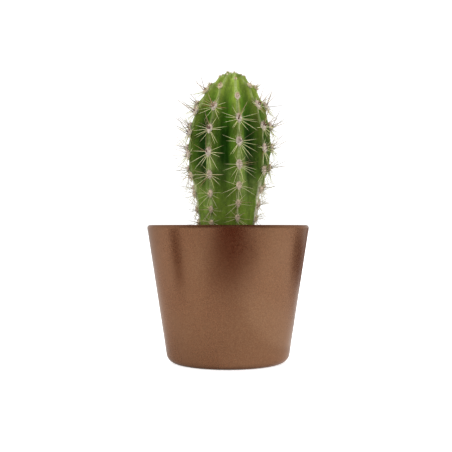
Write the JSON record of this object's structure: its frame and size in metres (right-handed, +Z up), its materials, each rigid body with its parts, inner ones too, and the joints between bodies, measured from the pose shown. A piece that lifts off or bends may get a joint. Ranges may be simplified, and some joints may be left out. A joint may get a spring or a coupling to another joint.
{
  "type": "potted cactus",
  "caption": "A ribbed column cactus with wool pads and straight spines, planted in soil in a small tapered round pot with a satin copper finish.",
  "frame": {"origin": "centre of the pot's round base, on the surface that it stands on", "axes": "+Z up along the pot's axis; the pictured front faces -Y, and +X is to its right"},
  "size_m": [0.0696, 0.0696, 0.1255],
  "materials": {
    "satin_copper": "satin",
    "potting_soil": "matte",
    "cactus_skin": "satin"
  },
  "bodies": {
    "root": {"pot": "satin_copper", "soil": "potting_soil", "cactus": "cactus_skin"}
  },
  "joints": []
}
